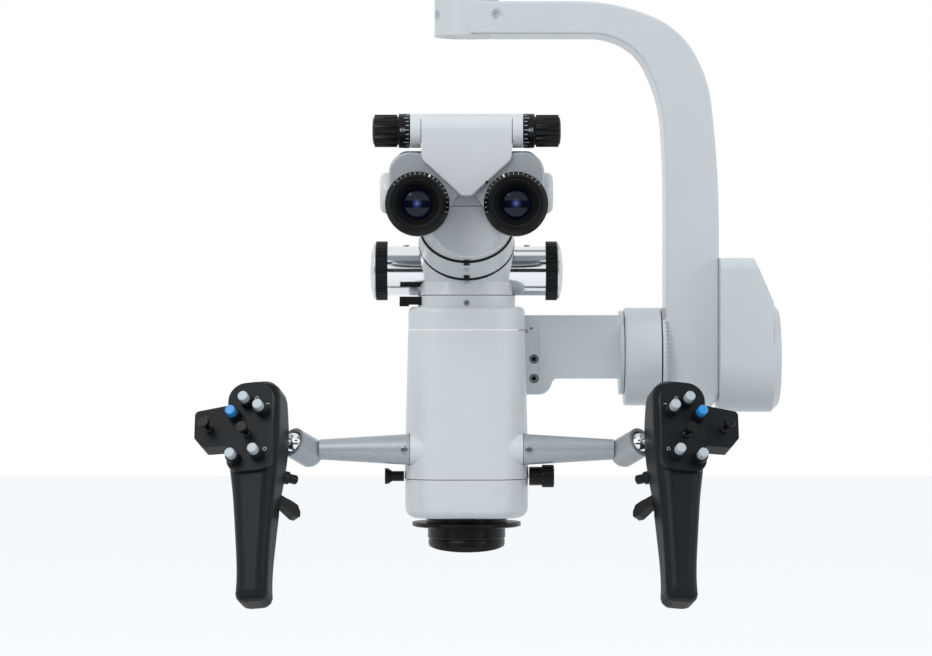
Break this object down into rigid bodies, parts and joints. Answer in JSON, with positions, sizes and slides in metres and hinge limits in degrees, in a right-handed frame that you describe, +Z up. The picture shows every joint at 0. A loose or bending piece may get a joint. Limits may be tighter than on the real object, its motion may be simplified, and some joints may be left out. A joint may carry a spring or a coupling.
{
  "type": "surgical microscope head",
  "caption": "Surgical microscope head hung from a curved suspension arm, with tiltable binocular tube, zoom knobs, objective and jointed control handles.",
  "frame": {"origin": "on the spindle's axis, at the shoulder that meets the socket of the suspension above", "axes": "+Z up along the spindle, -Y towards the operator at the eyepieces, +X to the operator's right, where the arm comes down"},
  "size_m": [0.4004, 0.1936, 0.4791],
  "materials": {
    "white_paint": "satin",
    "silver_paint": "fine metallic",
    "chrome": "polished",
    "steel": "ground",
    "silver_cap": "satin",
    "black_anodised": "satin",
    "black_plastic": "satin",
    "charcoal_plastic": "satin",
    "black_rubber": "matte",
    "coated_glass": "coated",
    "grey_plastic": "satin",
    "blue_plastic": "gloss"
  },
  "bodies": {
    "mount": {"mounting_spindle": "steel", "spindle_retaining_disc": "steel"},
    "arm": {"pendulum_arm": "white_paint", "tilt_friction_collar": "white_paint", "arm_end_cover": "white_paint"},
    "head": {"carrier_bracket": "white_paint", "tilt_shaft": "steel", "bracket_screws": "steel", "shoulder_cover": "white_paint", "body_shell": "white_paint", "base_shell": "white_paint", "neck_housing": "white_paint", "knob_tubes": "chrome", "objective_barrel": "black_anodised", "drape_flange": "black_anodised", "objective_lens": "coated_glass"},
    "ring": {"coupling_ring": "white_paint"},
    "base": {"binocular_base": "white_paint"},
    "binocular": {"binocular_housing": "white_paint", "front_shield": "white_paint", "binocular_hinge_pin": "steel"},
    "pupil_drive": {"pupil_distance_knobs": "black_anodised"},
    "magnification": {"magnification_knobs": "black_anodised", "knob_caps": "silver_cap"},
    "filter": {"filter_lever": "black_plastic"},
    "aperture": {"aperture_knob": "black_anodised"},
    "light": {"light_knob": "black_anodised"},
    "left_prism": {"left_prism_housing": "silver_paint"},
    "left_diopter": {"left_diopter_ring": "black_anodised", "left_eye_lens": "coated_glass"},
    "left_cup": {"left_eyecup": "black_rubber"},
    "left_arm": {"left_handle_arm": "silver_paint"},
    "left_handle": {"left_grip": "charcoal_plastic", "left_ball_stud": "chrome"},
    "left_top_button": {"left_top_button": "grey_plastic"},
    "left_inner_button": {"left_inner_button": "grey_plastic"},
    "left_blue_button": {"left_blue_button": "blue_plastic"},
    "left_lower_outer_button": {"left_lower_outer_button": "grey_plastic"},
    "left_lower_inner_button": {"left_lower_inner_button": "grey_plastic"},
    "left_thumb_stick": {"left_thumb_stick": "black_plastic"},
    "left_side_stick": {"left_side_stick": "black_plastic"},
    "left_trigger": {"left_trigger": "black_plastic"},
    "left_release_plunger": {"left_release_plunger": "black_plastic"},
    "right_prism": {"right_prism_housing": "silver_paint"},
    "right_diopter": {"right_diopter_ring": "black_anodised", "right_eye_lens": "coated_glass"},
    "right_cup": {"right_eyecup": "black_rubber"},
    "right_arm": {"right_handle_arm": "silver_paint"},
    "right_handle": {"right_grip": "charcoal_plastic", "right_ball_stud": "chrome"},
    "right_top_button": {"right_top_button": "grey_plastic"},
    "right_inner_button": {"right_inner_button": "grey_plastic"},
    "right_blue_button": {"right_blue_button": "blue_plastic"},
    "right_lower_outer_button": {"right_lower_outer_button": "grey_plastic"},
    "right_lower_inner_button": {"right_lower_inner_button": "grey_plastic"},
    "right_thumb_stick": {"right_thumb_stick": "black_plastic"},
    "right_side_stick": {"right_side_stick": "black_plastic"},
    "right_trigger": {"right_trigger": "black_plastic"},
    "right_release_plunger": {"right_release_plunger": "black_plastic"}
  },
  "joints": [
    {"name": "arm_swivel", "type": "hinge", "parent": "mount", "child": "arm", "pos_m": [0, 0, 0], "axis": [0, 0, 1], "range_deg": [-150, 150]},
    {"name": "head_tilt", "type": "hinge", "parent": "arm", "child": "head", "pos_m": [0, 0, -0.2734], "axis": [1, 0, 0], "range_deg": [-30, 45]},
    {"name": "coupling_swivel", "type": "hinge", "parent": "head", "child": "ring", "pos_m": [0, -0.0515, -0.1956], "axis": [0, -0.766, 0.6428], "range_deg": [-30, 30]},
    {"name": "binocular_swivel", "type": "hinge", "parent": "ring", "child": "base", "pos_m": [0, -0.0515, -0.1956], "axis": [0, -0.766, 0.6428], "range_deg": [-20, 20]},
    {"name": "binocular_tilt", "type": "hinge", "parent": "base", "child": "binocular", "pos_m": [0, -0.0735, -0.162], "axis": [1, 0, 0], "range_deg": [-45, 0]},
    {"name": "pupil_knob_turn", "type": "hinge", "parent": "binocular", "child": "pupil_drive", "pos_m": [0, -0.101, -0.1214], "axis": [1, 0, 0], "range_deg": [-130, 130]},
    {"name": "magnification_turn", "type": "hinge", "parent": "head", "child": "magnification", "pos_m": [0, -0.035, -0.214], "axis": [1, 0, 0], "range_deg": [-160, 160]},
    {"name": "filter_pull", "type": "slide", "parent": "head", "child": "filter", "axis": [-1, 0, 0], "range_m": [0, 0.008]},
    {"name": "left_prism_swing", "type": "hinge", "parent": "binocular", "child": "left_prism", "pos_m": [-0.0378, -0.088, -0.1486], "axis": [0, 1, 0], "range_deg": [-13, 13]},
    {"name": "left_diopter_turn", "type": "hinge", "parent": "left_prism", "child": "left_diopter", "pos_m": [-0.0325, -0.1086, -0.1716], "axis": [0, -1, 0], "range_deg": [-120, 120]},
    {"name": "left_eyecup_slide", "type": "slide", "parent": "left_diopter", "child": "left_cup", "axis": [0, -1, 0], "range_m": [0, 0.005]},
    {"name": "aperture_turn", "type": "hinge", "parent": "head", "child": "aperture", "pos_m": [-0.0524, -0.057, -0.3545], "axis": [1, 0, 0], "range_deg": [-140, 140]},
    {"name": "left_arm_turn", "type": "hinge", "parent": "head", "child": "left_arm", "pos_m": [-0.0424, -0.066, -0.336], "axis": [1, 0, 0], "range_deg": [-60, 60]},
    {"name": "left_handle_turn", "type": "hinge", "parent": "left_arm", "child": "left_handle", "pos_m": [-0.11634, -0.07256, -0.33193], "axis": [-0.6347, -0.6567, 0.4074], "range_deg": [-35, 35]},
    {"name": "left_top_button_press", "type": "slide", "parent": "left_handle", "child": "left_top_button", "axis": [0.2419, 0.8794, -0.4101], "range_m": [0, 0.0015], "stiffness_N_per_m": 400},
    {"name": "left_inner_button_press", "type": "slide", "parent": "left_handle", "child": "left_inner_button", "axis": [0.2419, 0.8794, -0.4101], "range_m": [0, 0.0015], "stiffness_N_per_m": 400},
    {"name": "left_blue_button_press", "type": "slide", "parent": "left_handle", "child": "left_blue_button", "axis": [0.2419, 0.8794, -0.4101], "range_m": [0, 0.0015], "stiffness_N_per_m": 400},
    {"name": "left_lower_outer_button_press", "type": "slide", "parent": "left_handle", "child": "left_lower_outer_button", "axis": [0.2419, 0.8794, -0.4101], "range_m": [0, 0.0015], "stiffness_N_per_m": 400},
    {"name": "left_lower_inner_button_press", "type": "slide", "parent": "left_handle", "child": "left_lower_inner_button", "axis": [0.2419, 0.8794, -0.4101], "range_m": [0, 0.0015], "stiffness_N_per_m": 400},
    {"name": "left_thumb_stick_rock", "type": "hinge", "parent": "left_handle", "child": "left_thumb_stick", "pos_m": [-0.14716, -0.11304, -0.32289], "axis": [0.9703, -0.2193, 0.1022], "range_deg": [-4, 4], "stiffness_Nm_per_rad": 0.05},
    {"name": "left_side_stick_rock", "type": "hinge", "parent": "left_handle", "child": "left_side_stick", "pos_m": [-0.17354, -0.0985, -0.32019], "axis": [0.9703, -0.2193, 0.1022], "range_deg": [-4, 4], "stiffness_Nm_per_rad": 0.05},
    {"name": "left_trigger_pull", "type": "hinge", "parent": "left_handle", "child": "left_trigger", "pos_m": [-0.128, -0.10079, -0.36701], "axis": [0.515, -0.7769, 0.3623], "range_deg": [0, 12], "stiffness_Nm_per_rad": 0.3},
    {"name": "left_release_plunger_press", "type": "slide", "parent": "left_handle", "child": "left_release_plunger", "axis": [-0.8572, -0.4668, 0.2177], "range_m": [0, 0.004], "stiffness_N_per_m": 400},
    {"name": "right_prism_swing", "type": "hinge", "parent": "binocular", "child": "right_prism", "pos_m": [0.0378, -0.088, -0.1486], "axis": [0, 1, 0], "range_deg": [-13, 13]},
    {"name": "right_diopter_turn", "type": "hinge", "parent": "right_prism", "child": "right_diopter", "pos_m": [0.0325, -0.1086, -0.1716], "axis": [0, -1, 0], "range_deg": [-120, 120]},
    {"name": "right_eyecup_slide", "type": "slide", "parent": "right_diopter", "child": "right_cup", "axis": [0, -1, 0], "range_m": [0, 0.005]},
    {"name": "light_turn", "type": "hinge", "parent": "head", "child": "light", "pos_m": [0.0524, -0.057, -0.3545], "axis": [1, 0, 0], "range_deg": [-140, 140]},
    {"name": "right_arm_turn", "type": "hinge", "parent": "head", "child": "right_arm", "pos_m": [0.0424, -0.066, -0.336], "axis": [1, 0, 0], "range_deg": [-60, 60]},
    {"name": "right_handle_turn", "type": "hinge", "parent": "right_arm", "child": "right_handle", "pos_m": [0.11634, -0.07256, -0.33193], "axis": [0.6347, -0.6567, 0.4074], "range_deg": [-35, 35]},
    {"name": "right_top_button_press", "type": "slide", "parent": "right_handle", "child": "right_top_button", "axis": [-0.2419, 0.8794, -0.4101], "range_m": [0, 0.0015], "stiffness_N_per_m": 400},
    {"name": "right_inner_button_press", "type": "slide", "parent": "right_handle", "child": "right_inner_button", "axis": [-0.2419, 0.8794, -0.4101], "range_m": [0, 0.0015], "stiffness_N_per_m": 400},
    {"name": "right_blue_button_press", "type": "slide", "parent": "right_handle", "child": "right_blue_button", "axis": [-0.2419, 0.8794, -0.4101], "range_m": [0, 0.0015], "stiffness_N_per_m": 400},
    {"name": "right_lower_outer_button_press", "type": "slide", "parent": "right_handle", "child": "right_lower_outer_button", "axis": [-0.2419, 0.8794, -0.4101], "range_m": [0, 0.0015], "stiffness_N_per_m": 400},
    {"name": "right_lower_inner_button_press", "type": "slide", "parent": "right_handle", "child": "right_lower_inner_button", "axis": [-0.2419, 0.8794, -0.4101], "range_m": [0, 0.0015], "stiffness_N_per_m": 400},
    {"name": "right_thumb_stick_rock", "type": "hinge", "parent": "right_handle", "child": "right_thumb_stick", "pos_m": [0.14716, -0.11304, -0.32289], "axis": [0.9703, 0.2193, -0.1022], "range_deg": [-4, 4], "stiffness_Nm_per_rad": 0.05},
    {"name": "right_side_stick_rock", "type": "hinge", "parent": "right_handle", "child": "right_side_stick", "pos_m": [0.17354, -0.0985, -0.32019], "axis": [0.9703, 0.2193, -0.1022], "range_deg": [-4, 4], "stiffness_Nm_per_rad": 0.05},
    {"name": "right_trigger_pull", "type": "hinge", "parent": "right_handle", "child": "right_trigger", "pos_m": [0.128, -0.10079, -0.36701], "axis": [0.515, 0.7769, -0.3623], "range_deg": [0, 12], "stiffness_Nm_per_rad": 0.3},
    {"name": "right_release_plunger_press", "type": "slide", "parent": "right_handle", "child": "right_release_plunger", "axis": [0.8572, -0.4668, 0.2177], "range_m": [0, 0.004], "stiffness_N_per_m": 400}
  ],
  "couplings": [
    {"joint": "right_prism_swing", "follows": "left_prism_swing", "ratio": -1},
    {"joint": "pupil_knob_turn", "follows": "left_prism_swing", "ratio": 10}
  ]
}
